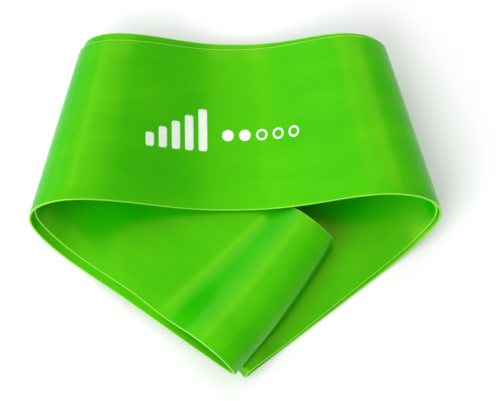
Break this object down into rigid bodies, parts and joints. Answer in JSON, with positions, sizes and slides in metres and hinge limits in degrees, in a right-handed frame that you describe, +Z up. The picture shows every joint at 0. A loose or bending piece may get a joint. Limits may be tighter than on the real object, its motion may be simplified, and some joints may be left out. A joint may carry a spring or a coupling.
{
  "type": "resistance band",
  "caption": "Endless flat latex exercise band, laid double with both ends folded back under the middle and crossed.",
  "frame": {"origin": "on the table under the middle of the folded band", "axes": "+X along the front strip, to the right as seen from the point; +Y away from the point where the two ends cross; +Z up from the table"},
  "size_m": [0.122, 0.102, 0.0233],
  "materials": {
    "latex": "smooth, satin gloss, bright green"
  },
  "bodies": {
    "root": {"loop_band": "latex"}
  },
  "joints": []
}
